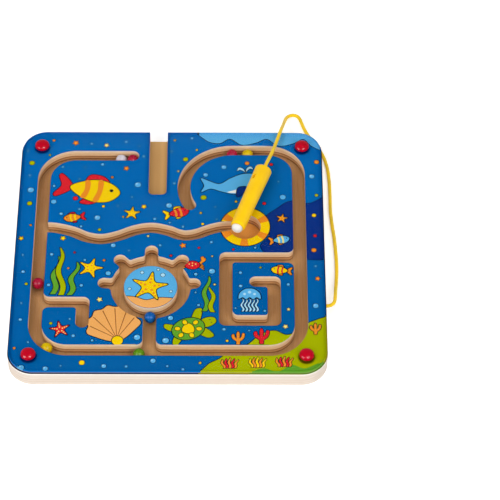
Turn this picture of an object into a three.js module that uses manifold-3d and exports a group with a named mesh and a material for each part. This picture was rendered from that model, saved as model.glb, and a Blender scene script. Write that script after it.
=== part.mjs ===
// Magnetic maze board: steel balls run in tracks that are routed in a wooden board, under a clear
// cover, and a magnet pen on a cord pulls them along. Millimetres, +Z up. The origin is the middle of
// the underside, the pen's slot opens at the far edge, +Y, and the cord leaves the right side, +X.
import * as THREE from 'three';
import { mergeVertices } from 'three/addons/utils/BufferGeometryUtils.js';
import Module from 'manifold-3d';

const wasm = await Module();
wasm.setup();

// Play between pieces
const restGap = 0.3;
const overrun = 1.5;

// Balls and the tracks that they run in
const ballDiameter = 11;
const ballSidePlay = 1.6;
const ballHeadroom = 1;
const trackWidth = ballDiameter + ballSidePlay;
const trackHalf = trackWidth / 2;
const ballRadius = ballDiameter / 2;

// Board, from the table up: base, track plate, printed sheet, cover
const boardWidth = 300;
const boardDepth = 300;
const boardCorner = 25;
const baseThickness = 4;
const trackThickness = ballDiameter + ballHeadroom;
const printThickness = 0.5;
const coverThickness = 3;
const coverInset = 1.2;
const trackTop = baseThickness + trackThickness;
const printTop = trackTop + printThickness;
const coverTop = printTop + coverThickness;

// Centre lines of the tracks, as shares of the board's width or depth from its middle
const sideShare = 0.42;
const nearShare = -0.407;
const farLeftShare = 0.4;
const farLeftEndShare = -0.13;
const farRightShare = 0.425;
const waveShares = [
  [-0.42, 0.089], [-0.377, 0.088], [-0.32, 0.073], [-0.27, 0.049], [-0.22, 0.041],
  [-0.167, 0.055], [-0.113, 0.079], [-0.06, 0.089], [-0.007, 0.077], [0.023, 0.063],
  [0.053, 0.057], [0.09, 0.065], [0.13, 0.083], [0.173, 0.095], [0.22, 0.096],
];
const wellShares = [0.243, 0.094];
const ringShares = [-0.059, -0.156];
const hookShares = { branch: -0.218, leg: -0.272, end: -0.298 };
const spiralShares = {
  far: -0.034,
  left: 0.181,
  near: -0.289,
  right: 0.335,
  innerFar: -0.133,
  innerEnd: 0.277,
};

// Bends, rounds and angles of the tracks
const loopBend = 31;
const arcRadius = 48.4;
const arcEndAngle = THREE.MathUtils.degToRad(208.7);
const wellRadius = 15.3;
const islandRadius = 25.6;
const toothReach = 12.8;
const toothPitch = THREE.MathUtils.degToRad(42);
const toothShares = [-2, -1, 0, 1, 2];
const toothReachShares = [0.78, 1, 1, 1, 1];
const branchRound = 6;
const smallRound = 3;
const ringOuter = islandRadius + trackWidth;
const ringMiddle = islandRadius + trackHalf;

// Pins that hold the cover
const pinInset = 20;
const pinHeadDiameter = 14;
const pinHeadHeight = 5;
const pinRim = 1;
const pinShankDiameter = 5;
const pinDepth = 8;

// Pen
const penLength = 82;
const penTopDiameter = 17;
const penNoseDiameter = 14.6;
const penNoseFace = 12.2;
const penNoseBevel = 2;
const penWall = 1.6;
const tipDiameter = 10.8;
const tipHeight = 5;
const tipRim = 1;
const tipStemDiameter = 8;
const tipStemLength = 9;
const magnetLength = 20;
const plugRecess = 3.2;
const plugThickness = 2;
const plugSkirtLength = 16;
const plugSkirtWall = 1.4;
const plugLipWall = 1.3;
const collarHeight = 2.4;
const collarWall = 2;
const windowFromEnd = 16;
const windowLength = 5;
const windowWidth = 3;
const windowTurn = THREE.MathUtils.degToRad(-33);
const penTipShares = [0.212, 0.0465];
const penHeading = THREE.MathUtils.degToRad(19.6);

// Slot where the pen is put away
const slotShare = -0.045;
const slotSidePlay = 0.8;
const slotEndPlay = 1.4;
const slotRound = 5;
const slotHalf = (penTopDiameter + slotSidePlay) / 2;
const slotToArcWall = 10.8;

// Cord
const cordDiameter = 3.5;
const cordHolePlay = 0.6;
const cordHoleRadius = (cordDiameter + cordHolePlay) / 2;
const cordShare = -0.215;
const cordSocketDepth = 10;
const cordSides = 8;
const cordSteps = 52;

// Facets
const roundSteps = 12;
const bendSteps = 9;
const fullCircleSteps = 40;
const ballSegments = 14;
const ballRings = 9;

const paint = (color, roughness, metalness = 0) =>
  new THREE.MeshStandardMaterial({ color, roughness, metalness });
const plywood = paint(0xefd9bd, 0.7);
const routedWood = paint(0xd9b184, 0.75);
const printBlue = paint(0x0064aa, 0.45);
const printPale = paint(0x5fb0dc, 0.45);
const pinRed = paint(0xb00b2a, 0.2);
const penYellow = paint(0xffce00, 0.4);
const tipWhite = paint(0xf2efe8, 0.35);
const steel = paint(0xc9ccd0, 0.25, 1);
const clearSheet = paint(0xffffff, 0.05);
clearSheet.transparent = true;
clearSheet.opacity = 0.25;

const part = new THREE.Group();

function addPiece(name, geometry, material, parent = part) {
  const mesh = new THREE.Mesh(geometry, material);
  mesh.name = name;
  parent.add(mesh);
  return mesh;
}

const xAt = (share) => share * boardWidth;
const yAt = (share) => share * boardDepth;

// Closed meshes to solids that can be joined and cut, and back
function solidOf(geometry) {
  const bare = geometry.clone();
  bare.deleteAttribute('normal');
  bare.deleteAttribute('uv');
  const merged = mergeVertices(bare);
  return new wasm.Manifold(new wasm.Mesh({
    numProp: 3,
    vertProperties: new Float32Array(merged.attributes.position.array),
    triVerts: new Uint32Array(merged.index.array),
  }));
}

function geometryOf(solid) {
  const mesh = solid.getMesh();
  const geometry = new THREE.BufferGeometry();
  geometry.setAttribute('position', new THREE.BufferAttribute(mesh.vertProperties, 3));
  geometry.setIndex(new THREE.BufferAttribute(mesh.triVerts, 1));
  geometry.computeVertexNormals();
  return geometry;
}

const join = (solids) => solids.reduce((all, solid) => all.add(solid));

// An outline raised from one height to another; a round in it gets `steps` facets
function prism(shape, bottom, top, steps = roundSteps) {
  const geometry = new THREE.ExtrudeGeometry(shape, {
    depth: top - bottom,
    bevelEnabled: false,
    curveSegments: steps / 2,
  });
  return geometry.translate(0, 0, bottom);
}

function roundedRectangle(width, depth, corner) {
  const x = width / 2;
  const y = depth / 2;
  const shape = new THREE.Shape();
  shape.moveTo(corner - x, -y);
  shape.absarc(x - corner, corner - y, corner, -Math.PI / 2, 0, false);
  shape.absarc(x - corner, y - corner, corner, 0, Math.PI / 2, false);
  shape.absarc(corner - x, y - corner, corner, Math.PI / 2, Math.PI, false);
  shape.absarc(corner - x, corner - y, corner, Math.PI, Math.PI * 1.5, false);
  shape.closePath();
  return shape;
}

function disc(x, y, radius) {
  return new THREE.Shape().absarc(x, y, radius, 0, Math.PI * 2, false);
}

// Tracks. A station is a point on a centre line with its heading, and a lane is the band round the line
// that a ball needs.
function straight(x0, y0, x1, y1) {
  const heading = Math.atan2(y1 - y0, x1 - x0);
  return [{ x: x0, y: y0, heading }, { x: x1, y: y1, heading }];
}

function bend(x, y, radius, start, end, steps) {
  const side = Math.sign(end - start) * Math.PI / 2;
  return Array.from({ length: steps + 1 }, (_, i) => {
    const angle = start + (end - start) * i / steps;
    return { x: x + radius * Math.cos(angle), y: y + radius * Math.sin(angle), heading: angle + side };
  });
}

function laneShape(stations, half = trackHalf) {
  const offset = ({ x, y, heading }, turn) => new THREE.Vector2(
    x + half * Math.cos(heading + turn),
    y + half * Math.sin(heading + turn),
  );
  const cap = (station, start) => Array.from({ length: roundSteps / 2 - 1 }, (_, i) =>
    offset(station, start + Math.PI * (i + 1) / (roundSteps / 2)));
  const first = stations[0];
  const last = stations[stations.length - 1];
  return new THREE.Shape([
    ...stations.map((station) => offset(station, -Math.PI / 2)),
    ...cap(last, -Math.PI / 2),
    ...stations.map((station) => offset(station, Math.PI / 2)).reverse(),
    ...cap(first, Math.PI / 2),
  ]);
}

// The round corner where two tracks meet: the corner lies at x, y, and the wood from there towards dx, dy
function cornerShape(x, y, dx, dy, radius) {
  const shape = new THREE.Shape();
  shape.moveTo(x - dx * overrun, y - dy * overrun);
  shape.lineTo(x + dx * radius, y - dy * overrun);
  const side = dx > 0 ? Math.PI : 0;
  shape.absarc(x + dx * radius, y + dy * radius, radius, -dy * Math.PI / 2, side, dx * dy > 0);
  shape.lineTo(x - dx * overrun, y + dy * radius);
  shape.closePath();
  return shape;
}

// The round between the ring's outer wall and a track that leaves it along +Y; the side is +1 or -1
function ringRoundShape(side) {
  const x = trackHalf + smallRound;
  const y = Math.sqrt((ringOuter + smallRound) ** 2 - x ** 2);
  const touch = Math.atan2(y, x);
  const inside = ringOuter - overrun;
  const shape = new THREE.Shape();
  shape.moveTo(side * (trackHalf - overrun), y);
  shape.lineTo(side * trackHalf, y);
  const start = side > 0 ? Math.PI : 0;
  const end = side > 0 ? Math.PI + touch : -touch;
  shape.absarc(side * x, y, smallRound, start, end, side < 0);
  shape.lineTo(side * inside * Math.cos(touch), inside * Math.sin(touch));
  shape.lineTo(side * (trackHalf - overrun), inside * Math.sin(touch));
  shape.closePath();
  return shape;
}

const left = xAt(-sideShare);
const right = xAt(sideShare);
const near = yAt(nearShare);
const farLeft = yAt(farLeftShare);
const farRight = yAt(farRightShare);
const farLeftEnd = xAt(farLeftEndShare);
const arcCentre = {
  x: xAt(slotShare) + slotHalf + slotToArcWall + trackHalf + arcRadius,
  y: farRight - arcRadius,
};
const well = { x: xAt(wellShares[0]), y: yAt(wellShares[1]) };
const ring = { x: xAt(ringShares[0]), y: yAt(ringShares[1]) };
const hook = { y: yAt(hookShares.branch), x: xAt(hookShares.leg), end: yAt(hookShares.end) };
const spiral = {
  far: yAt(spiralShares.far),
  left: xAt(spiralShares.left),
  near: yAt(spiralShares.near),
  right: xAt(spiralShares.right),
  innerFar: yAt(spiralShares.innerFar),
  innerEnd: xAt(spiralShares.innerEnd),
};

// One long lane runs from the dead end at the far left, round the near corners, to the end of the arc
function loopLane() {
  return [
    { x: farLeftEnd, y: farLeft, heading: Math.PI },
    ...bend(left + loopBend, farLeft - loopBend, loopBend, Math.PI * 0.5, Math.PI, bendSteps),
    ...bend(left + loopBend, near + loopBend, loopBend, Math.PI, Math.PI * 1.5, bendSteps),
    ...bend(right - loopBend, near + loopBend, loopBend, -Math.PI / 2, 0, bendSteps),
    ...bend(right - loopBend, farRight - loopBend, loopBend, 0, Math.PI / 2, bendSteps),
    ...bend(arcCentre.x, arcCentre.y, arcRadius, Math.PI / 2, arcEndAngle, bendSteps * 2),
  ];
}

function waveLane() {
  const curve = new THREE.SplineCurve(waveShares.map(([x, y]) => new THREE.Vector2(xAt(x), yAt(y))));
  const steps = waveShares.length * 2;
  return Array.from({ length: steps + 1 }, (_, i) => {
    const point = curve.getPoint(i / steps);
    return { x: point.x, y: point.y, heading: curve.getTangent(i / steps).angle() };
  });
}

// All that is routed away, as one solid through the track plate and the printed sheet
function routedSpace() {
  const bottom = baseThickness - overrun;
  const top = printTop + overrun;
  const cut = (shape, steps) => solidOf(prism(shape, bottom, top, steps));
  const lane = (stations) => cut(laneShape(stations));

  const lanes = [
    lane(loopLane()),
    lane(waveLane()),
    lane(straight(left, hook.y, hook.x, hook.y)),
    lane(straight(hook.x, hook.y, hook.x, hook.end)),
    lane(straight(right, spiral.far, spiral.left, spiral.far)),
    lane(straight(spiral.left, spiral.far, spiral.left, spiral.near)),
    lane(straight(spiral.left, spiral.near, spiral.right, spiral.near)),
    lane(straight(spiral.right, spiral.near, spiral.right, spiral.innerFar)),
    lane(straight(spiral.right, spiral.innerFar, spiral.innerEnd, spiral.innerFar)),
    lane(straight(ring.x, ring.y - ringMiddle, ring.x, near)),
    cut(disc(well.x, well.y, wellRadius), fullCircleSteps),
    cut(disc(ring.x, ring.y, ringOuter), fullCircleSteps),
  ];

  const corners = [
    cut(cornerShape(ring.x + trackHalf, near + trackHalf, 1, 1, branchRound)),
    cut(cornerShape(ring.x - trackHalf, near + trackHalf, -1, 1, branchRound)),
    cut(cornerShape(left + trackHalf, hook.y + trackHalf, 1, 1, branchRound)),
    cut(cornerShape(left + trackHalf, hook.y - trackHalf, 1, -1, branchRound)),
    cut(cornerShape(hook.x - trackHalf, hook.y - trackHalf, -1, -1, smallRound)),
    cut(cornerShape(right - trackHalf, spiral.far + trackHalf, -1, 1, branchRound)),
    cut(cornerShape(right - trackHalf, spiral.far - trackHalf, -1, -1, branchRound)),
    cut(cornerShape(spiral.left + trackHalf, spiral.far - trackHalf, 1, -1, smallRound)),
    cut(cornerShape(spiral.left + trackHalf, spiral.near + trackHalf, 1, 1, branchRound)),
    cut(cornerShape(spiral.right - trackHalf, spiral.near + trackHalf, -1, 1, smallRound)),
    cut(cornerShape(spiral.right - trackHalf, spiral.innerFar - trackHalf, -1, -1, smallRound)),
  ];

  // The ring's teeth, and the neck below it, stand along +Y here and are then turned round the ring
  const atRing = (solid, angle) => solid.rotate([0, 0, THREE.MathUtils.radToDeg(angle)])
    .translate([ring.x, ring.y, 0]);
  const rounds = cut(ringRoundShape(1)).add(cut(ringRoundShape(-1)));
  const teeth = toothShares.map((share, i) => {
    const tooth = lane(straight(0, ringMiddle, 0, ringMiddle + toothReach * toothReachShares[i]));
    return atRing(tooth.add(rounds), share * toothPitch);
  });

  return join([...lanes, ...corners, ...teeth, atRing(rounds, Math.PI)]);
}

// The slot is open at the far edge and as wide as the thick end of the pen
function slotSpace() {
  const x = xAt(slotShare);
  const end = boardDepth / 2 - penLength - slotEndPlay;
  const open = boardDepth / 2 + overrun;
  const shape = new THREE.Shape();
  shape.moveTo(x + slotHalf, open);
  shape.lineTo(x - slotHalf, open);
  shape.absarc(x - slotHalf + slotRound, end + slotRound, slotRound, Math.PI, Math.PI * 1.5, false);
  shape.absarc(x + slotHalf - slotRound, end + slotRound, slotRound, -Math.PI / 2, 0, false);
  shape.closePath();
  return solidOf(prism(shape, baseThickness - overrun, coverTop + overrun, bendSteps));
}

const pinPlaces = [
  { name: 'far_left', x: pinInset - boardWidth / 2, y: boardDepth / 2 - pinInset },
  { name: 'far_right', x: boardWidth / 2 - pinInset, y: boardDepth / 2 - pinInset },
  { name: 'near_left', x: pinInset - boardWidth / 2, y: pinInset - boardDepth / 2 },
  { name: 'near_right', x: boardWidth / 2 - pinInset, y: pinInset - boardDepth / 2 },
];

function pinHoles() {
  const radius = pinShankDiameter / 2 + restGap;
  const bottom = trackTop - pinDepth - restGap;
  return join(pinPlaces.map(({ x, y }) => solidOf(prism(disc(x, y, radius), bottom, coverTop + overrun))));
}

// The cord's hole goes in from the right side, at half the height of the track plate
function cordSocket() {
  const length = cordSocketDepth + overrun;
  const hole = new THREE.CylinderGeometry(cordHoleRadius, cordHoleRadius, length, roundSteps);
  hole.rotateZ(Math.PI / 2);
  hole.translate(
    boardWidth / 2 - cordSocketDepth + length / 2,
    yAt(cordShare),
    baseThickness + trackThickness / 2,
  );
  return solidOf(hole);
}

function addBoard() {
  const outline = roundedRectangle(boardWidth, boardDepth, boardCorner);
  const coverOutline = roundedRectangle(
    boardWidth - coverInset * 2,
    boardDepth - coverInset * 2,
    boardCorner - coverInset,
  );
  const routed = routedSpace();
  const slot = slotSpace();
  const holes = pinHoles();
  const trackPlate = solidOf(prism(outline, baseThickness, trackTop))
    .subtract(routed).subtract(slot).subtract(holes).subtract(cordSocket());
  const printSheet = solidOf(prism(outline, trackTop, printTop))
    .subtract(routed).subtract(slot).subtract(holes);
  const cover = solidOf(prism(coverOutline, printTop, coverTop)).subtract(slot).subtract(holes);

  addPiece('base_plate', prism(outline, 0, baseThickness), plywood);
  addPiece('track_plate', geometryOf(trackPlate), routedWood);
  addPiece('print_sheet', geometryOf(printSheet), printBlue);
  addPiece('cover_sheet', geometryOf(cover), clearSheet);

  const islandOutline = disc(ring.x, ring.y, islandRadius);
  addPiece('ring_island', prism(islandOutline, baseThickness, trackTop, fullCircleSteps), routedWood);
  addPiece('island_print', prism(islandOutline, trackTop, printTop, fullCircleSteps), printPale);
}

// A round piece from its profile of radius and height
function turned(profile, segments = roundSteps * 2) {
  const points = profile.map(([radius, height]) => new THREE.Vector2(radius, height));
  return new THREE.LatheGeometry(points, segments);
}

// The quarter of an ellipse from its side to its crown, for domes
function domeProfile(radius, rise, foot, steps = roundSteps / 2) {
  return Array.from({ length: steps + 1 }, (_, i) => {
    const angle = Math.PI / 2 * i / steps;
    return [i < steps ? radius * Math.cos(angle) : 0, foot + rise * Math.sin(angle)];
  });
}

function addPins() {
  const head = pinHeadDiameter / 2;
  const shank = pinShankDiameter / 2;
  const depth = coverTop - trackTop + pinDepth;
  const geometry = turned([
    [0, -depth],
    [shank, -depth],
    [shank, 0],
    [head, 0],
    ...domeProfile(head, pinHeadHeight - pinRim, pinRim),
  ], roundSteps);
  geometry.rotateX(Math.PI / 2);
  for (const { name, x, y } of pinPlaces) {
    addPiece(`cover_pin_${name}`, geometry, pinRed).position.set(x, y, coverTop);
  }
}

// Balls, each named with its place: the middle of the ball as it lies in its track
const arcBallAngle = THREE.MathUtils.degToRad(91);
const cornerBallAngle = THREE.MathUtils.degToRad(232);
const pairGap = 0.4;
const farRedX = farLeftEnd - (trackHalf - ballRadius) / 2;
const leftBallShare = -0.126;
const greenBallShare = -0.09;
const arcPairPitch = 14.7;
const balls = [
  { name: 'ball_red_far', x: farRedX, y: farLeft, color: 0xa3142e },
  { name: 'ball_silver', x: farRedX - ballDiameter - pairGap, y: farLeft, color: 0xd8d8dc },
  { name: 'ball_red_left', x: left, y: yAt(leftBallShare), color: 0xa3142e },
  {
    name: 'ball_red_arc',
    x: arcCentre.x + arcRadius * Math.cos(arcBallAngle),
    y: arcCentre.y + arcRadius * Math.sin(arcBallAngle),
    color: 0xa3142e,
  },
  { name: 'ball_yellow_arc', x: arcCentre.x + arcPairPitch, y: farRight, color: 0xd9bf10 },
  {
    name: 'ball_yellow_corner',
    x: left + loopBend + loopBend * Math.cos(cornerBallAngle),
    y: near + loopBend + loopBend * Math.sin(cornerBallAngle),
    color: 0xd9bf10,
  },
  { name: 'ball_green', x: xAt(greenBallShare), y: near, color: 0x4f9a25 },
  { name: 'ball_blue', x: ring.x, y: ring.y - ringMiddle, color: 0x0b4f93 },
];

function addBalls() {
  const geometry = new THREE.SphereGeometry(ballRadius, ballSegments, ballRings);
  geometry.rotateX(Math.PI / 2);
  for (const { name, x, y, color } of balls) {
    addPiece(name, geometry, paint(color, 0.2, 0.3)).position.set(x, y, baseThickness + restGap + ballRadius);
  }
}

// Pen, drawn along its own axis from the tip at 0 to the cord's end
const topRadius = penTopDiameter / 2;
const noseRadius = penNoseDiameter / 2;
const noseEnd = tipHeight + restGap;
const taperStart = noseEnd + penNoseBevel;
const penTaper = Math.atan((topRadius - noseRadius) / (penLength - taperStart));
const boreRadius = noseRadius - penWall;
const magnetStart = tipHeight + tipStemLength + restGap;
const plugFace = penLength - plugRecess;
const plugSeat = plugFace - plugThickness;
const lipRadius = topRadius - plugLipWall;
const skirtRadius = boreRadius - restGap;
const windowMiddle = penLength - windowFromEnd;

// A block that reaches out from the pen's axis at the window, for the window itself and for the lug in it
function windowBlock(length, width, reach) {
  const block = new THREE.BoxGeometry(width, length, reach);
  block.translate(0, windowMiddle, reach / 2);
  block.rotateY(windowTurn);
  return solidOf(block);
}

function penBody() {
  const stemHole = tipStemDiameter / 2 + restGap;
  const seat = plugSeat - restGap;
  const tube = solidOf(turned([
    [stemHole, noseEnd],
    [penNoseFace / 2, noseEnd],
    [noseRadius, taperStart],
    [topRadius, penLength],
    [lipRadius, penLength],
    [lipRadius, seat],
    [boreRadius, seat],
    [boreRadius, magnetStart - restGap],
    [stemHole, magnetStart - restGap],
    [stemHole, noseEnd],
  ]));
  return geometryOf(tube.subtract(windowBlock(windowLength, windowWidth, penTopDiameter)));
}

function penPlug() {
  const skirtEnd = plugSeat - plugSkirtLength;
  const skirtInner = skirtRadius - plugSkirtWall;
  const flange = lipRadius - restGap;
  const collar = cordHoleRadius + collarWall;
  const plug = solidOf(turned([
    [skirtInner, skirtEnd],
    [skirtRadius, skirtEnd],
    [skirtRadius, plugSeat],
    [flange, plugSeat],
    [flange, plugFace],
    [collar, plugFace],
    [collar, plugFace + collarHeight],
    [cordHoleRadius, plugFace + collarHeight],
    [cordHoleRadius, plugSeat],
    [skirtInner, plugSeat],
    [skirtInner, skirtEnd],
  ]));
  const lugReach = boreRadius + penWall / 2;
  const lug = windowBlock(windowLength - restGap * 2, windowWidth - restGap * 2, lugReach)
    .subtract(solidOf(turned([
      [0, skirtEnd],
      [skirtInner + plugSkirtWall / 2, skirtEnd],
      [skirtInner + plugSkirtWall / 2, plugSeat],
      [0, plugSeat],
    ])));
  return geometryOf(plug.add(lug));
}

function penTip() {
  const stem = tipStemDiameter / 2;
  const domeHeight = tipHeight - tipRim;
  const dome = domeProfile(tipDiameter / 2, domeHeight, 0)
    .map(([radius, height]) => [radius, domeHeight - height]);
  return turned([
    ...dome.reverse(),
    [tipDiameter / 2, tipHeight],
    [stem, tipHeight],
    [stem, tipHeight + tipStemLength],
    [0, tipHeight + tipStemLength],
  ]);
}

// The pen lies on the cover along its tapered side
function addPen() {
  const heading = new THREE.Group();
  const tilt = new THREE.Group();
  heading.position.set(
    xAt(penTipShares[0]),
    yAt(penTipShares[1]),
    coverTop + restGap + noseRadius * Math.cos(penTaper) - taperStart * Math.sin(penTaper),
  );
  heading.rotation.z = -penHeading;
  tilt.rotation.x = penTaper;
  heading.add(tilt);
  part.add(heading);

  const magnetRadius = boreRadius - restGap;
  addPiece('pen_body', penBody(), penYellow, tilt);
  addPiece('pen_plug', penPlug(), penYellow, tilt);
  addPiece('pen_tip', penTip(), tipWhite, tilt);
  const magnet = new THREE.CylinderGeometry(magnetRadius, magnetRadius, magnetLength, roundSteps);
  addPiece('pen_magnet', magnet, steel, tilt).position.y = magnetStart + magnetLength / 2;
}

// The cord's route, from its hole in the board's side, over the table and the far edge, into the pen's plug
const cordRoute = [
  [141.5, -64.5, 10],
  [146, -64.5, 10],
  [150.2, -64.5, 10],
  [154.2, -63.5, 9.8],
  [157.1, -60.7, 9.2],
  [158.6, -56.4, 8.3],
  [159.4, -48.6, 6.6],
  [160, -40, 4.6],
  [160.8, -31, 3],
  [161.5, -20, 2.1],
  [161.8, -6, 1.8],
  [161.3, 10, 1.8],
  [160.4, 26, 1.8],
  [158.8, 42, 1.8],
  [157.6, 60, 1.8],
  [157.6, 80, 1.8],
  [157.2, 100, 1.8],
  [155.6, 118, 1.8],
  [151.6, 134, 1.8],
  [144.8, 147.6, 1.8],
  [138.2, 159.2, 1.8],
  [133.6, 169.6, 1.8],
  [130.9, 178.2, 1.8],
  [129.1, 183.8, 1.8],
  [126.5, 187.3, 1.8],
  [122.5, 188.6, 1.8],
  [118.4, 187.4, 1.9],
  [115.6, 184.1, 2.7],
  [114.1, 178.6, 5],
  [112.8, 171.6, 8.8],
  [111.6, 163.6, 14],
  [110.3, 156, 18.8],
  [108.6, 148.6, 21.6],
  [105.9, 138.8, 21.9],
  [103.1, 129, 22.6],
  [100.4, 119, 24.6],
  [97.3, 109, 27],
  [94, 99.5, 28.3],
  [91.1, 91.2, 28.3],
  [88.4, 83.7, 28.2],
];

function addCord() {
  const points = cordRoute.map((point) => new THREE.Vector3(...point));
  const route = new THREE.CatmullRomCurve3(points, false, 'centripetal');
  const section = new THREE.Shape(Array.from({ length: cordSides }, (_, i) => {
    const angle = Math.PI * 2 * i / cordSides;
    return new THREE.Vector2(Math.cos(angle) * cordDiameter / 2, Math.sin(angle) * cordDiameter / 2);
  }));
  addPiece('cord', new THREE.ExtrudeGeometry(section, { extrudePath: route, steps: cordSteps }), penYellow);
}

addBoard();
addPins();
addBalls();
addPen();
addCord();

export default part;
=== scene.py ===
"""Magnetic maze board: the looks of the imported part. Metres, +Z up; lengths below are in millimetres."""

import random
from math import atan, atan2, copysign, cos, dist, hypot, pi, radians, sin, sqrt, tau

import bpy
import numpy as np
from mathutils import Matrix, Vector
from mathutils.geometry import delaunay_2d_cdt


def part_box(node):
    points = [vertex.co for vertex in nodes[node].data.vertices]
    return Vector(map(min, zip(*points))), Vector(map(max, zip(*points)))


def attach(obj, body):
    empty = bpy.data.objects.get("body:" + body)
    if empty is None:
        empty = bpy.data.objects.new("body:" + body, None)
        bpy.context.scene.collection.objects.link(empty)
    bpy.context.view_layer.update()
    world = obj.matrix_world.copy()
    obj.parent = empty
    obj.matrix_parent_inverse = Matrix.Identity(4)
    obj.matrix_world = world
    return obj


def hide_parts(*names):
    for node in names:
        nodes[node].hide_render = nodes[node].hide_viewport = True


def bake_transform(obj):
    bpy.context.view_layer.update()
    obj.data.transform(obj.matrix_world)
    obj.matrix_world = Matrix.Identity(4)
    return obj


MM = 0.001
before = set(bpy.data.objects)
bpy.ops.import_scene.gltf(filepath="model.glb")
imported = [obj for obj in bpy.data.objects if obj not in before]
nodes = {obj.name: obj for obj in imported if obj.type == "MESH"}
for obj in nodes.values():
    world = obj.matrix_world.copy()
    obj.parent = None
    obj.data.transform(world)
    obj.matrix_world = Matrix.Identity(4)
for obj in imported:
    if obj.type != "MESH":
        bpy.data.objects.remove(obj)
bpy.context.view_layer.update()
scene = bpy.context.scene

# The same sizes as the source, in millimetres
HALF, CORNER = 150, 25
BASE_TOP, WOOD_TOP, PRINT_TOP, COVER_FOOT, COVER_TOP = 4, 16, 16.42, 16.5, 19.5
COVER_INSET = 1.2
TRACK = 6.3
LEFT, RIGHT, NEAR, FAR_LEFT, FAR_RIGHT = -126, 126, -122.1, 120, 127.5
LOOP_START, LOOP_BEND, ARC_RADIUS = -39, 31, 48.4
ARC, ARC_END = (60.9, FAR_RIGHT - ARC_RADIUS), radians(208.7)
WELL, WELL_RADIUS = (72.9, 28.2), 15.3
RING = (-17.7, -46.8)
ISLAND_RADIUS, RING_OUTER, RING_MIDDLE = 25.6, 38.2, 31.9
TOOTH_PITCH = radians(42)
TOOTH_REACH = (10, 12.8, 12.8, 12.8, 12.8)
BIG_ROUND, SMALL_ROUND = 6, 3
WAVE = [
    (-126, 26.7), (-113.1, 26.4), (-96, 21.9), (-81, 14.7), (-66, 12.3), (-50.1, 16.5),
    (-33.9, 23.7), (-18, 26.7), (-2.1, 23.1), (6.9, 18.9), (15.9, 17.1), (27, 19.5),
    (39, 24.9), (51.9, 28.5), (66, 28.8),
]
HOOK = [(LEFT, -65.4), (-81.6, -65.4), (-81.6, -89.4)]
SPIRAL = [(RIGHT, -10.2), (54.3, -10.2), (54.3, -86.7), (100.5, -86.7), (100.5, -39.9), (83.1, -39.9)]
SLOT = {"x": -13.5, "half": 8.9, "end": 66.6, "round": 5}
PIN_AT = 130
PINS = {
    f"{depth}_{side}": (x, y) for depth, y in (("far", PIN_AT), ("near", -PIN_AT))
    for side, x in (("left", -PIN_AT), ("right", PIN_AT))}
PIN_HEAD, PIN_SHANK, PIN_HOLE = 7, 2.5, 2.8
BALL_RADIUS = 5.5
CORD_DIAMETER = 3.5

OVERLAP = 1.5  # How far one routed outline reaches into the next
QUARTER_TURN = pi / 2


def linked(name, data):
    """A new object in the scene."""
    made = bpy.data.objects.new(name, data)
    scene.collection.objects.link(made)
    return made


def mesh_object(name, points, faces):
    """A new object with a mesh, from points in millimetres."""
    mesh = bpy.data.meshes.new(name)
    mesh.from_pydata([Vector(p) * MM for p in points], [], faces)
    return linked(name, mesh)


# Camera, at the photograph's place and angle
CAMERA_AT = (55.2, -1452.6, 1802.7)
PITCH, YAW, ROLL = radians(50.9), radians(0.8832), radians(0.8616)
FOCAL_PIXELS, FRAME_PIXELS, SENSOR = 2376.1, 500, 36


def make_camera():
    forward = Vector((sin(YAW) * cos(PITCH), cos(YAW) * cos(PITCH), -sin(PITCH)))
    level = forward.cross(Vector((0, 0, 1))).normalized()
    above = level.cross(forward)
    right = cos(ROLL) * level + sin(ROLL) * above
    up = cos(ROLL) * above - sin(ROLL) * level
    camera = linked("camera", bpy.data.cameras.new("camera"))
    axes = Matrix((right, up, -forward)).transposed()
    camera.matrix_world = Matrix.Translation(Vector(CAMERA_AT) * MM) @ axes.to_4x4()
    camera.data.sensor_width = SENSOR
    camera.data.lens = FOCAL_PIXELS / FRAME_PIXELS * SENSOR
    camera.data.clip_start, camera.data.clip_end = 0.1, 20
    scene.camera = camera


# Materials
def linear(code):
    """A hex colour as the linear values that a shader takes."""
    parts = [int(code[i:i + 2], 16) / 255 for i in (1, 3, 5)]
    return [p / 12.92 if p <= 0.04045 else ((p + 0.055) / 1.055) ** 2.4 for p in parts] + [1]


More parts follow.
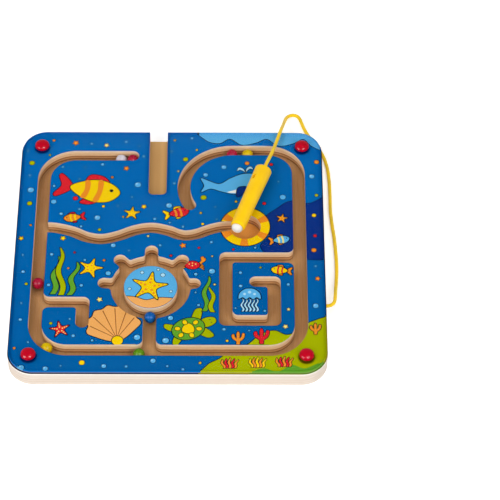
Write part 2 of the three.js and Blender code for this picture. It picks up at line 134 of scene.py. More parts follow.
class Nodes:
    """A node tree, with short calls to add nodes and link them."""

    def __init__(self, tree):
        self.tree = tree

    def add(self, kind, inputs=(), **settings):
        node = self.tree.nodes.new("ShaderNode" + kind)
        for key, value in settings.items():
            setattr(node, key, value)
        for key, value in dict(inputs).items():
            self.put(value, node.inputs[key])
        return node

    def link(self, source, target):
        self.tree.links.new(source, target)

    def put(self, value, socket):
        """Links a socket to an input, or sets the input to a value."""
        if isinstance(value, bpy.types.NodeSocket):
            self.link(value, socket)
        else:
            socket.default_value = value

    def place(self, scale=(1, 1, 1)):
        """Object coordinates in millimetres, stretched."""
        where = self.add("TexCoord").outputs["Object"]
        return self.add("Mapping", {"Vector": where, "Scale": [s / MM for s in scale]}).outputs[0]

    def xyz(self):
        return self.add("SeparateXYZ", {0: self.place()}).outputs

    def noise(self, scale, detail=3, rough=0.5):
        """Noise stretched by `scale`, per millimetre."""
        settings = {"Vector": self.place(scale), "Scale": 1, "Detail": detail, "Roughness": rough}
        return self.add("TexNoise", settings).outputs["Fac"]

    def ramp(self, factor, stops, smooth="LINEAR"):
        node = self.add("ValToRGB", {"Fac": factor})
        band = node.color_ramp
        band.interpolation = smooth
        while len(band.elements) < len(stops):
            band.elements.new(0.5)
        for element, (at, colour) in zip(band.elements, stops):
            element.position = at
            element.color = linear(colour) if isinstance(colour, str) else [colour] * 3 + [1]
        return node.outputs[0]

    def math(self, kind, a, b=0.0):
        return self.add("Math", {0: a, 1: b}, operation=kind).outputs[0]

    def length(self, x, y):
        return self.math("SQRT", self.math("ADD", *(self.math("MULTIPLY", v, v) for v in (x, y))))

    def mix(self, factor, a, b, blend="MIX"):
        inputs = {0: factor, 6: a, 7: linear(b)}
        return self.add("Mix", inputs, data_type="RGBA", blend_type=blend).outputs[2]


class Surface(Nodes):
    """A new material's nodes."""

    def __init__(self, name):
        self.material = bpy.data.materials.new(name)
        self.material.use_nodes = True
        super().__init__(self.material.node_tree)
        self.shader = self.tree.nodes["Principled BSDF"]
        self.output = self.tree.nodes["Material Output"]

    def bump(self, height, strength, distance=0.0002):
        bump = self.add("Bump", {"Height": height, "Strength": strength, "Distance": distance})
        self.link(bump.outputs[0], self.shader.inputs["Normal"])

    def finish(self, colour, roughness, **plain):
        self.put(colour, self.shader.inputs["Base Color"])
        self.put(roughness, self.shader.inputs["Roughness"])
        for key, value in plain.items():
            self.shader.inputs[key.replace("_", " ")].default_value = value
        return self.material


def plywood(name, bands, line):
    """Plywood cut across. `bands` are (height in mm, colour), from the underside up."""
    n = Surface(name)
    top, wander_by = 16.5, 1.6
    wander = n.math("SUBTRACT", n.noise((0.022, 0.022, 0.1)), 0.5)
    level = n.math("ADD", n.xyz()[2], n.math("MULTIPLY", wander, wander_by))
    colour = n.ramp(n.math("DIVIDE", level, top), [(z / top, code) for z, code in bands])
    fibre = n.noise((0.16, 0.16, 2.6), 4, 0.7)
    colour = n.mix(n.ramp(fibre, [(0.42, 0.0), (0.75, 0.4)]), colour, line)
    n.bump(fibre, 0.2)
    return n.finish(colour, n.ramp(fibre, [(0.3, 0.55), (0.8, 0.8)]), Specular_IOR_Level=0.2)


def wood_face(name, light, dark, pore, painted_light=None):
    """The flat of a board: grain along Y, with fine pores. A given function may add painted light and shade
    to it by place.
    """
    n = Surface(name)
    grain = n.noise((0.35, 0.012, 0.35), 5, 0.6)
    fine = n.noise((2.2, 0.05, 2.2), 3, 0.6)
    colour = n.ramp(grain, [(0.3, dark), (0.52, light), (0.75, dark)])
    colour = n.mix(n.ramp(fine, [(0.55, 0.0), (0.75, 0.45)]), colour, pore)
    if painted_light:
        colour = painted_light(n, colour)
    n.bump(fine, 0.15)
    return n.finish(colour, n.ramp(grain, [(0.3, 0.5), (0.7, 0.7)]), Specular_IOR_Level=0.2)


def floor_painted_light(n, colour):
    """Painted light and shade: lighter in the open slot, where no cover dims the light, more orange in the
    well, as light bounced from the yellow round it, and darker along the walls, as painted shade."""
    x, y, _ = n.xyz()
    across = n.math("LESS_THAN", n.math("ABSOLUTE", n.math("SUBTRACT", x, SLOT["x"])), SLOT["half"] + 1)
    along = n.math("GREATER_THAN", y, SLOT["end"] - 1)
    # Painted light: the open slot's floor is lightened, as no cover dims it
    colour = n.mix(n.math("MULTIPLY", n.math("MULTIPLY", across, along), 0.8), colour, "#F6C982")
    from_well = n.length(*(n.math("SUBTRACT", v, at) for v, at in zip((x, y), WELL)))
    well_bounce = n.ramp(n.math("DIVIDE", from_well, 20), [(0.7, 1.0), (1.0, 0.0)])
    # Painted light: an orange glow on the well's floor, for light bounced from the yellow round it
    colour = n.mix(n.math("MULTIPLY", well_bounce, 0.8), colour, "#F3A446")
    # Painted shade: ambient occlusion darkens the floor along the walls, less in the well
    open_sky = n.add("AmbientOcclusion", {"Distance": 8 * MM}, samples=8).outputs["AO"]
    outside_well = n.math("SUBTRACT", 1.0, n.math("MULTIPLY", well_bounce, 0.6))
    wall_shade = n.math("MULTIPLY", n.ramp(open_sky, [(0.4, 0.43), (0.9, 0.08)]), outside_well)
    return n.mix(wall_shade, colour, "#2A1608")


def ink():
    """The printed laminate: each face carries its own colour, with the print's faint mottle. Its blues deepen
    to the near and right sides. It is dimmed by painted shade in the strip outside the cover, and by painted
    shadow close round the pins' heads."""
    n = Surface("printed_laminate")
    own = n.add("Attribute", attribute_name="ink").outputs["Color"]
    cloud = n.noise((0.012, 0.012, 0.012), 2)
    grain = n.noise((3, 3, 3), 2)
    shade = n.mix(n.ramp(cloud, [(0.3, 0.0), (0.7, 0.10)]), own, "#8FA6C8", "MULTIPLY")
    shade = n.mix(n.ramp(grain, [(0.35, 0.0), (0.8, 0.10)]), shade, "#FFFFFF", "SOFT_LIGHT")

    x, y, _ = n.xyz()
    red, _, blue = n.add("SeparateColor", {0: own}).outputs
    nearness = n.ramp(n.math("ADD", n.math("DIVIDE", y, 2 * HALF), 0.5),
                      [(0.0, 0.25), (0.4, 0.2), (0.6, 0.12), (0.75, 0.07), (1.0, 0.04)])
    rightness = n.ramp(n.math("DIVIDE", x, HALF), [(0.13, 0.0), (0.6, 0.06), (0.84, 0.06), (0.9, 0.0)])
    is_blue = n.ramp(red, [(0.0, 1.0), (0.05, 0.0)])
    shade = n.mix(n.math("MULTIPLY", n.math("ADD", nearness, rightness), is_blue), shade, "#000000")

    def past(half):
        return [n.math("SUBTRACT", n.math("ABSOLUTE", v), half) for v in (x, y)]

    # Painted shade: the strip that the cover leaves bare is dimmed, most on the blues
    reach = n.length(*(n.math("MAXIMUM", v, 0.0) for v in past(HALF - CORNER)))
    strip_shade = n.ramp(n.math("SUBTRACT", reach, CORNER - COVER_INSET - 0.2), [(0.0, 0.0), (0.35, 1.0)])
    shade = n.mix(strip_shade, shade, "#E0C49A", "MULTIPLY")
    shade = n.mix(n.math("MULTIPLY", strip_shade, n.math("MULTIPLY", blue, 1.8)), shade, "#081634")
    # Painted shadow: the print is darkened close round each pin's head, where the head keeps the light off
    pin_shadow_reach = n.math("DIVIDE", n.math("SUBTRACT", n.length(*past(PIN_AT)), PIN_HEAD - 0.2), 2.4)
    shade = n.mix(n.ramp(pin_shadow_reach, [(0.0, 1.0), (1.0, 0.0)], "EASE"), shade, "#8A6C96", "MULTIPLY")
    n.bump(grain, 0.04, 0.0001)
    return n.finish(shade, n.ramp(grain, [(0.3, 0.42), (0.7, 0.52)]), Specular_IOR_Level=0.0)


def clear_sheet():
    """Clear acrylic: light passes, and it mirrors more at a slant."""
    n = Surface("clear_sheet")
    film = n.noise((0.03, 0.03, 0.03))
    n.finish(linear("#FFFFFF"), n.ramp(film, [(0.3, 0.02), (0.8, 0.07)]), Metallic=1.0)
    clear = n.add("BsdfTransparent", {"Color": (0.992, 0.995, 0.995, 1)})
    slant = n.add("LayerWeight", {"Blend": 0.5}).outputs["Facing"]
    mirror = n.math("ADD", n.math("MULTIPLY", n.math("POWER", slant, 5), 0.85), 0.001)
    mixed = n.add("MixShader", {0: mirror, 1: clear.outputs[0], 2: n.shader.outputs[0]})
    n.link(mixed.outputs[0], n.output.inputs["Surface"])
    return n.material


def clear_edge():
    """The sheet's sawn edge: it takes up the print's colour. From outside it has a painted light line at its
    foot, for the light that the clear edge catches there.
    """
    n = Surface("clear_edge")
    own = n.add("Attribute", attribute_name="ink").outputs["Color"]
    saw = n.noise((1.5, 1.5, 0.1), 2)
    # Painted light: a pale line at the edge's foot, shown only from outside
    foot = n.ramp(n.math("SUBTRACT", n.xyz()[2], COVER_FOOT), [(0.75, 0.4), (0.95, 0.0)])
    colour = n.mix(n.ramp(saw, [(0.3, 0.0), (0.7, 0.25)]), own, "#0C2038")
    outside = n.math("SUBTRACT", 1.0, n.add("NewGeometry").outputs["Backfacing"])
    colour = n.mix(n.math("MULTIPLY", foot, outside), colour, "#E2BCA6")
    n.bump(saw, 0.1)
    return n.finish(colour, n.ramp(saw, [(0.3, 0.3), (0.7, 0.5)]), Specular_IOR_Level=0.0)


def paint(name, light, dark, roughness, dimple, specular=0.5):
    """Glossy paint or plastic with a soft cloud of tone and a little orange peel."""
    n = Surface(name)
    cloud = n.noise((0.09, 0.09, 0.09))
    peel = n.noise((1.1, 1.1, 1.1), 2)
    colour = n.mix(n.ramp(cloud, [(0.32, 0.0), (0.7, 1.0)]), linear(light), dark)
    n.bump(peel, dimple)
    rough = n.ramp(peel, [(0.3, roughness * 0.85), (0.75, roughness * 1.35)])
    return n.finish(colour, rough, Specular_IOR_Level=specular)


def metal(name, light, dark, roughness):
    n = Surface(name)
    scuff = n.noise((0.5, 0.5, 0.5), 4, 0.65)
    colour = n.mix(n.ramp(scuff, [(0.35, 0.0), (0.7, 1.0)]), linear(light), dark)
    n.bump(scuff, 0.04)
    return n.finish(colour, n.ramp(scuff, [(0.3, roughness), (0.75, roughness * 1.9)]), Metallic=1.0)


def make_materials():
    made = {
        "edge": plywood("plywood_edge", [
            (0, "#CDBEAE"), (1.3, "#DACEC2"), (3.6, "#DACEC2"), (4, "#C4AC94"), (4.4, "#D8CBBE"),
            (7.2, "#D8CBBE"), (7.7, "#C9B29C"), (8.2, "#DACEC2"), (11.3, "#DACEC2"), (11.7, "#C6B09A"),
            (12.1, "#DCD1C6"), (14.6, "#DCD1C6"), (15.1, "#F4F2EE")], "#C8B29C"),
        # Routed walls: the plies' own lines, paler high up and darker towards the floor, where the lowest
        # bands are painted shade
        "wall": plywood("routed_wall", [
            (4, "#6E4426"), (5, "#9A6B42"), (5.9, "#CFA06E"), (7.4, "#D3A473"), (7.9, "#94623A"),
            (8.7, "#AE7A4C"), (9.3, "#F0CC9E"), (11.4, "#F2D2A8"), (11.8, "#DDB284"), (12.2, "#F4D6AE"),
            (14.9, "#F8DEBC"), (15.3, "#FBF5EE")], "#B98552"),
        "floor": wood_face("floor_wood", "#D0A06C", "#C1905B", "#996B3D", floor_painted_light),
        "under": wood_face("underside_wood", "#E6CBA4", "#D5B48A", "#A98459"),
        "ink": ink(),
        "clear": clear_sheet(),
        "clear_edge": clear_edge(),
        "magnet": metal("magnet_steel", "#C8C9CC", "#A2A4A8", 0.3),
    }
    for key, name, *look in (
        ("core", "laminate_core", "#EFE3D0", "#DCC9AE", 0.55, 0.05),
        ("pin", "pin_red", "#B6001E", "#AE001C", 0.2, 0.02, 0.06),
        ("pen", "pen_yellow", "#FCCB00", "#F7C400", 0.4, 0.08, 0.25),
        ("tip", "tip_white", "#E9E5DE", "#DCD7CE", 0.34, 0.06),
        ("cord", "cord_yellow", "#F8CC00", "#E3BE0A", 0.42, 0.08),
        ("red_ball", "ball_red", "#B8143A", "#9E1133", 0.24, 0.03, 0.05),
        ("yellow_ball", "ball_yellow", "#DCBC00", "#CBA900", 0.24, 0.03, 0.05),
        ("green_ball", "ball_green", "#669614", "#548410", 0.24, 0.03, 0.05),
        ("blue_ball", "ball_blue", "#0A62B4", "#08509A", 0.24, 0.03, 0.05),
        ("silver_ball", "ball_silver", "#D3CDD6", "#C5BECB", 0.35, 0.03, 0.1),
    ):
        made[key] = paint(name, *look)
    return made


# Outlines in millimetres
def moved(points, x, y, size=1.0, turn=0.0, flip=1):
    """Outline points sized, turned by that angle and set down at (x, y). A flip of -1 mirrors them."""
    c, s = cos(turn), sin(turn)
    return [(x + size * (flip * u * c - v * s), y + size * (flip * u * s + v * c)) for u, v in points]


def polar(x, y, radius, angle):
    return x + radius * cos(angle), y + radius * sin(angle)


def evenly(start, end, steps):
    return [start + (end - start) * i / steps for i in range(steps + 1)]


def circle(x, y, radius, steps=48, stretch=1.0, turn=0.0):
    spans = evenly(0, tau, steps)[:-1]
    return moved([(radius * cos(a), radius * stretch * sin(a)) for a in spans], x, y, 1, turn)


def arc(x, y, radius, start, end, steps):
    return [polar(x, y, radius, a) for a in evenly(start, end, steps)]


def rounded_square(half, radius):
    points = []
    for i, (sx, sy) in enumerate(((1, -1), (1, 1), (-1, 1), (-1, -1))):
        start = (i - 1) * QUARTER_TURN
        points += arc(sx * (half - radius), sy * (half - radius), radius, start, start + QUARTER_TURN, 24)
    return points


def divided(points, step):
    """The outline with points added along its long edges."""
    made = []
    for a, b in zip(points, points[1:] + points[:1]):
        count = max(1, round(dist(a, b) / step))
        made += [(a[0] + (b[0] - a[0]) * i / count, a[1] + (b[1] - a[1]) * i / count) for i in range(count)]
    return made


def lane(stations):
    """The band that a ball needs round a centre line of (x, y, heading)."""
    def offset(station, turn):
        x, y, heading = station
        return polar(x, y, TRACK, heading + turn)

    caps = evenly(0, pi, 20)[1:-1]
    return (
        [offset(s, -QUARTER_TURN) for s in stations]
        + [offset(stations[-1], a - QUARTER_TURN) for a in caps]
        + [offset(s, QUARTER_TURN) for s in reversed(stations)]
        + [offset(stations[0], a + QUARTER_TURN) for a in caps]
    )


def straight(x0, y0, x1, y1):
    heading = atan2(y1 - y0, x1 - x0)
    return [(x0, y0, heading), (x1, y1, heading)]


def bend(x, y, radius, start, end, steps=28):
    """An arc as stations, each with its heading."""
    side = copysign(QUARTER_TURN, end - start)
    return [(*polar(x, y, radius, a), a + side) for a in evenly(start, end, steps)]


def corner(x, y, dx, dy, radius):
    """The rounded inner corner where two tracks meet at (x, y), on the side that (dx, dy) points to."""
    x, y = x + dx * TRACK, y + dy * TRACK
    start, end = -dy * QUARTER_TURN, -dy * pi if dx > 0 else 0
    rounds = arc(x + dx * radius, y + dy * radius, radius, start, end, 10)
    back, down = x - dx * OVERLAP, y - dy * OVERLAP
    return [(back, down), (x + dx * radius, down), *rounds, (back, y + dy * radius)]


def ring_rounds(angle):
    """The two rounds where a track leaves the ring's outer wall."""
    x = TRACK + SMALL_ROUND
    y = sqrt((RING_OUTER + SMALL_ROUND) ** 2 - x ** 2)
    touch = atan2(y, x)
    low_x, low_y = polar(0, 0, RING_OUTER - OVERLAP, touch)
    back = TRACK - OVERLAP
    shapes = []
    for side in (1, -1):
        start, end = (pi, pi + touch) if side > 0 else (0, -touch)
        rounds = arc(side * x, y, SMALL_ROUND, start, end, 10)
        points = [(side * back, y), *rounds, (side * low_x, low_y), (side * back, low_y)]
        shapes.append(moved(points, *RING, 1, angle))
    return shapes


def hermite(a, b, leaving, arriving, w):
    """The cubic from `a` to `b` with these slopes at its ends, at `w` between 0 and 1."""
    bend_in = 3 * b - 3 * a - 2 * leaving - arriving
    return (2 * a - 2 * b + leaving + arriving) * w ** 3 + bend_in * w ** 2 + leaving * w + a


def wave_stations(steps=90):
    last = len(WAVE) - 1
    points, stations = [], []
    for t in evenly(0, last, steps):
        i = min(int(t), last - 1)
        p0, p1, p2, p3 = (np.array(WAVE[max(0, min(last, i + k))]) for k in (-1, 0, 1, 2))
        points.append(hermite(p1, p2, (p2 - p0) / 2, (p3 - p1) / 2, t - i))
    for i, (x, y) in enumerate(points):
        (x0, y0), (x1, y1) = points[max(0, i - 1)], points[min(steps, i + 1)]
        stations.append((x, y, atan2(y1 - y0, x1 - x0)))
    return stations


def routed_outlines():
    """Every band and corner that is routed away, as outlines that overlap."""
    loop = [
        (LOOP_START, FAR_LEFT, pi),
        *bend(LEFT + LOOP_BEND, FAR_LEFT - LOOP_BEND, LOOP_BEND, QUARTER_TURN, pi),
        *bend(LEFT + LOOP_BEND, NEAR + LOOP_BEND, LOOP_BEND, pi, 3 * QUARTER_TURN),
        *bend(RIGHT - LOOP_BEND, NEAR + LOOP_BEND, LOOP_BEND, -QUARTER_TURN, 0),
        *bend(RIGHT - LOOP_BEND, FAR_RIGHT - LOOP_BEND, LOOP_BEND, 0, QUARTER_TURN),
        *bend(*ARC, ARC_RADIUS, QUARTER_TURN, ARC_END, 56),
    ]
    shapes = [lane(loop), lane(wave_stations())]
    way_out = [(RING[0], RING[1] - RING_MIDDLE), (RING[0], NEAR)]
    for route in (HOOK, SPIRAL, way_out):
        shapes += [lane(straight(*a, *b)) for a, b in zip(route, route[1:])]
    shapes += [circle(*WELL, WELL_RADIUS, 72), circle(*RING, RING_OUTER, 140)]
    for place, dx, dy, radius in (
        (way_out[1], 1, 1, BIG_ROUND), (way_out[1], -1, 1, BIG_ROUND),
        (HOOK[0], 1, 1, BIG_ROUND), (HOOK[0], 1, -1, BIG_ROUND), (HOOK[1], -1, -1, SMALL_ROUND),
        (SPIRAL[0], -1, 1, BIG_ROUND), (SPIRAL[0], -1, -1, BIG_ROUND), (SPIRAL[1], 1, -1, SMALL_ROUND),
        (SPIRAL[2], 1, 1, BIG_ROUND), (SPIRAL[3], -1, 1, SMALL_ROUND), (SPIRAL[4], -1, -1, SMALL_ROUND),
    ):
        shapes.append(corner(*place, dx, dy, radius))
    for number, reach in enumerate(TOOTH_REACH, -2):
        tooth = lane(straight(0, RING_MIDDLE, 0, RING_MIDDLE + reach))
        shapes += [moved(tooth, *RING, 1, number * TOOTH_PITCH), *ring_rounds(number * TOOTH_PITCH)]
    return shapes + ring_rounds(pi)


def slot_outline():
    x, half, end, r = (SLOT[k] for k in ("x", "half", "end", "round"))
    past_edge = HALF + 5
    near_left = arc(x - half + r, end + r, r, pi, 3 * QUARTER_TURN, 10)
    near_right = arc(x + half - r, end + r, r, 3 * QUARTER_TURN, tau, 10)
    return [(x - half, past_edge), *near_left, *near_right, (x + half, past_edge)]


def facing_up(points):
    area = sum(x0 * y1 - x1 * y0 for (x0, y0), (x1, y1) in zip(points, points[1:] + points[:1]))
    return points if area > 0 else points[::-1]


def inside(points, outline):
    """For each row of points, whether it lies inside the outline."""
    ring = np.array(outline, float)
    x, y = points[:, 0], points[:, 1]
    found = np.zeros(len(points), bool)
    (low_x, low_y), (high_x, high_y) = ring.min(0), ring.max(0)
    near = np.flatnonzero((x > low_x) & (x < high_x) & (y > low_y) & (y < high_y))
    for (x0, y0), (x1, y1) in zip(ring, np.roll(ring, -1, 0)):
        if y0 == y1:
            continue
        hit = ((y0 > y[near]) != (y1 > y[near])) & (x[near] < (x1 - x0) * (y[near] - y0) / (y1 - y0) + x0)
        found[near[hit]] ^= True
    return found


def flat_map(layers):
    """Splits overlapping outlines into triangles, and keeps those in the first one. Returns points, and
    (triangle, tag of the top layer on it)."""
    points, edges = [], []
    for outline, _ in layers:
        first, count = len(points), len(outline)
        points += [Vector(p) for p in outline]
        edges += [(first + i, first + (i + 1) % count) for i in range(count)]
    made, _, triangles, *_ = delaunay_2d_cdt(points, edges, [], 0, 1e-4)
    corners = np.array([[made[i][:] for i in t] for t in triangles])
    middles = corners.mean(1)
    owner = np.full(len(triangles), -1)
    for number, (outline, _) in enumerate(layers):
        owner[inside(middles, outline)] = number
    owner[~inside(middles, layers[0][0])] = -1
    return made, [(tuple(t), layers[own][1]) for t, own in zip(triangles, owner) if own >= 0]


# Meshes
def piece(name, points, faces, materials, body="board", places=None, sharp=35, smooth=None):
    """A new piece that rides on a body. Its faces are smooth, unless `smooth` names which are, and its edges
    are sharp beyond that angle."""
    made = mesh_object(name, points, faces)
    mesh = made.data
    for material in materials:
        mesh.materials.append(material)
    if places:
        mesh.polygons.foreach_set("material_index", places)
    mesh.polygons.foreach_set("use_smooth", smooth or [True] * len(faces))
    mesh.update()
    mesh.set_sharp_from_angle(angle=radians(sharp))
    if body:
        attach(made, body)
    return made


def outline_loops(triangles):
    """The border of a set of triangles as closed loops of point numbers, with the inside on the left."""
    edges = dict.fromkeys(edge for t in triangles for edge in zip(t, t[1:] + t[:1]))
    after = {}
    for a, b in edges:
        if (b, a) not in edges:
            after.setdefault(a, []).append(b)
    loops = []
    while after:
        start = next(iter(after))
        loop, here = [start], start
        while True:
            ways = after[here]
            step = ways.pop()
            if not ways:
                del after[here]
            if step == start:
                break
            loop.append(step)
            here = step
        loops.append(loop)
    return loops


def way_out_of(a, b, c, least, by=1):
    """The way from corner b of an anticlockwise outline that moves both its sides outwards by `by`. On a
    sharp corner it is no longer than `by / least`."""
    first, second = (b - a).normalized(), (c - b).normalized()
    normal = Vector((first.y + second.y, -first.x - second.x))
    side = Vector((first.y, -first.x))
    normal = normal.normalized() if normal.length > 1e-6 else side
    return normal * by / max(least, normal.dot(side))


def inward(points, loop):
    """For each point of a loop, the way into the material."""
    ends = zip(loop[-1:] + loop, loop, loop[1:] + loop[:1])
    return [-way_out_of(points[i], points[j], points[k], 0.5) for i, j, k in ends]


def slab(name, layers, kept, bottom, top, materials, place_of=lambda a, b: 1, rims=((0, 0),), colours=None,
         brim=None, picture=()):
    """A plate with straight cut walls and its edges taken off. The first layer is its outline and `kept`
    says which tags are material. `rims` are the (inset, drop) steps of its edges, from the flat outwards.
    `place_of` gives a wall's material from its two end points, `colours` gives each tag's ink, `picture`
    inks the edges and walls, and `brim` inks the upper edge where the picture leaves it bare."""
    inset = rims[0][0]
    cut_back = [(grown(layers[0][0], -inset), layers[0][1])]
    cut_back += [(outline if tag in kept else grown(outline, inset), tag) for outline, tag in layers[1:]]
    points, tagged = flat_map(cut_back if inset else layers)
    tagged = [(triangle, tag) for triangle, tag in tagged if tag in kept]
    used = sorted({i for triangle, _ in tagged for i in triangle})
    upper = {number: i for i, number in enumerate(used)}
    lower = {number: i + len(used) for i, number in enumerate(used)}
    vertices = [(*points[i], z) for z in (top, bottom) for i in used]
    faces, places, inks = [], [], []
    for triangle, tag in tagged:
        faces += [tuple(upper[i] for i in triangle), tuple(lower[i] for i in reversed(triangle))]
        places += [0, len(materials) - 1]
        inks += [colours[tag] if colours else None, None]
    caps = len(faces)
    steps = [(top - drop, step) for step, drop in rims[1:]]
    steps += [(bottom + drop, step) for step, drop in reversed(rims[1:])]
    for loop in outline_loops([triangle for triangle, _ in tagged]):
        ways = inward(points, loop)
        below = [None] * len(loop)
        spots = np.array([(*(points[i] + way),) for i, way in zip(loop, ways)])
        for shape, tag in picture:
            for i in np.flatnonzero(inside(spots, shape)):
                below[i] = colours[tag]
        rings = [[upper[i] for i in loop]]
        for height, step in steps:
            rings.append(list(range(len(vertices), len(vertices) + len(loop))))
            vertices += [(*(points[i] - way * (inset - step)), height) for i, way in zip(loop, ways)]
        rings.append([lower[i] for i in loop])
        for row, (high, low) in enumerate(zip(rings, rings[1:])):
            inked = brim and row < len(rims) - 1
            for i in range(len(loop)):
                j = (i + 1) % len(loop)
                faces.append((high[j], high[i], low[i], low[j]))
                places.append(0 if inked else place_of(points[loop[i]], points[loop[j]]))
                inks.append(below[i] or (colours[brim] if inked else None))
    smooth = [False] * caps + [True] * (len(faces) - caps)
    made = piece(name, vertices, faces, materials, places=places, smooth=smooth)
    if colours:
        layer = made.data.attributes.new("ink", "FLOAT_COLOR", "FACE")
        for value, shown in zip(layer.data, inks):
            value.color = shown or linear("#FFFFFF")
    return made


def skin(rings, closed=False):
    """The faces between rings of point numbers. A `closed` one joins the last ring to the first."""
    faces = []
    for low, high in zip(rings, rings[1:] + rings[:1] if closed else rings[1:]):
        for i in range(len(low)):
            j = (i + 1) % len(low)
            faces.append(tuple(dict.fromkeys((low[i], low[j], high[j], high[i]))))
    return faces


def capped(count, sides):
    """The faces of a rod whose points are `count` rings of `sides`."""
    rings = [tuple(range(i * sides, (i + 1) * sides)) for i in range(count)]
    return [rings[0][::-1], rings[-1], *skin(rings)]


def lathe(profile, steps, axis="Z", closed=False):
    """Turns a profile of (radius, height) round an axis, as points and faces. A `closed` one makes a tube."""
    points, rings = [], []
    for radius, height in profile:
        if radius == 0:
            rings.append([len(points)] * steps)
            points.append((0, 0, height))
        else:
            rings.append([len(points) + i for i in range(steps)])
            points += [(x, y, height) for x, y in circle(0, 0, radius, steps)]
    if axis == "Y":
        points = [(x, z, -y) for x, y, z in points]
    return points, skin(rings, closed)


def rounding(radius, height, small, start, end, steps=4):
    """Points of a small round in a profile, about (radius, height). Angles in degrees."""
    return arc(radius, height, small, radians(start), radians(end), steps)


def dome(radius, foot, rise, steps):
    """A profile from (radius, foot) to the axis, at foot + rise."""
    spans = evenly(0, QUARTER_TURN, steps)[:-1]
    return [*((radius * cos(a), foot + rise * sin(a)) for a in spans), (0, foot + rise)]


# The cord's route, as in the source
CORD_ROUTE = [
    (141.5, -64.5, 10), (146, -64.5, 10), (150.2, -64.5, 10), (154.2, -63.5, 9.8), (157.1, -60.7, 9.2),
    (158.6, -56.4, 8.3), (159.4, -48.6, 6.6), (160, -40, 4.6), (160.8, -31, 3), (161.5, -20, 2.1),
    (161.8, -6, 1.8), (161.3, 10, 1.8), (160.4, 26, 1.8), (158.8, 42, 1.8), (157.6, 60, 1.8),
    (157.6, 80, 1.8), (157.2, 100, 1.8), (155.6, 118, 1.8), (151.6, 134, 1.8), (144.8, 147.6, 1.8),
    (138.2, 159.2, 1.8), (133.6, 169.6, 1.8), (130.9, 178.2, 1.8), (129.1, 183.8, 1.8), (126.5, 187.3, 1.8),
    (122.5, 188.6, 1.8), (118.4, 187.4, 1.9), (115.6, 184.1, 2.7), (114.1, 178.6, 5), (112.8, 171.6, 8.8),
    (111.6, 163.6, 14), (110.3, 156, 18.8), (108.6, 148.6, 21.6), (105.9, 138.8, 21.9), (103.1, 129, 22.6),
    (100.4, 119, 24.6), (97.3, 109, 27), (94, 99.5, 28.3), (91.1, 91.2, 28.3), (88.4, 83.7, 28.2),
]


def smooth_route(route, per_span=12):
    """The centripetal curve through the route's points."""
    p = [Vector(q) for q in route]
    p = [2 * p[0] - p[1], *p, 2 * p[-1] - p[-2]]
    line = []
    for a, b, c, d in zip(p, p[1:], p[2:], p[3:]):
        t0, t1, t2 = ((v - u).length ** 0.5 for u, v in ((a, b), (b, c), (c, d)))
        leaving = ((b - a) / t0 - (c - a) / (t0 + t1) + (c - b) / t1) * t1
        arriving = ((c - b) / t1 - (d - b) / (t1 + t2) + (d - c) / t2) * t1
        line += [hermite(b, c, leaving, arriving, i / per_span) for i in range(per_span)]
    return [*line, p[-2]]


def make_cord(material):
    line = smooth_route(CORD_ROUTE)
    sides, points = 20, []
    side = Vector((0, 0, 1))
    for i, middle in enumerate(line):
        along = (line[min(i + 1, len(line) - 1)] - line[max(i - 1, 0)]).normalized()
        side = (side - along * side.dot(along)).normalized()
        other = along.cross(side)
        points += [middle + side * u + other * v for u, v in circle(0, 0, CORD_DIAMETER / 2, sides)]
    cord = piece("pull_cord", points, capped(len(line), sides), [material], body=None, sharp=180)
    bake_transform(cord)
    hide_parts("cord")


# The print: a made-up undersea picture
INKS = {
    "sea": "#0069B7", "deep": "#0A3388", "aqua": "#58AEE0", "pale": "#A9D8EC", "lime": "#A5AF00",
    "green": "#5F9F2A", "yellow": "#F4CB08", "lemon": "#F1E07A", "orange": "#E98A24", "sand": "#EBA75C",
    "rust": "#8A4A20", "red": "#D8222C", "white": "#F5F3EC", "line": "#0A1220",
}


def smooth_closed(points, per_span=8):
    """A closed smooth curve through a few points."""
    n, made = len(points), []
    for i in range(n):
        p0, p1, p2, p3 = (Vector(points[(i + k) % n]) for k in (-1, 0, 1, 2))
        for k in range(per_span):
            w = k / per_span
            q = 0.5 * ((2 * p1) + (p2 - p0) * w + (2 * p0 - 5 * p1 + 4 * p2 - p3) * w ** 2
                       + (3 * p1 - p0 - 3 * p2 + p3) * w ** 3)
            made.append((q.x, q.y))
    return made


def grown(points, by):
    """The outline moved outwards, for the dark line round a motif."""
    points = [Vector(p) for p in facing_up(list(points))]
    made = []
    for a, b, c in zip(points[-1:] + points, points, points[1:] + points[:1]):
        if (b - a).length >= 1e-6 and (c - b).length >= 1e-6:
            made.append(tuple(b + way_out_of(a, b, c, 0.45, by)))
    return made


def star(x, y, radius, waist, tips, turn):
    spans = [turn + pi * i / tips for i in range(tips * 2)]
    reach = [radius, radius * waist] * tips
    return smooth_closed([(x + r * sin(a), y + r * cos(a)) for r, a in zip(reach, spans)], 5)


def stalk(x, y, height, width, sway, turns, lean=0.0, steps=28):
    """A wavy ribbon that grows from a foot to a rounded tip."""
    left, right = [], []
    for i in range(steps + 1):
        t = i / steps
        middle = x + lean * t + sway * sin(t * turns * tau)
        half = width / 2 * sqrt(max(0.02, 1 - t ** 3))
        left.append((middle - half, y + height * t))
        right.append((middle + half, y + height * t))
    return left + right[::-1]


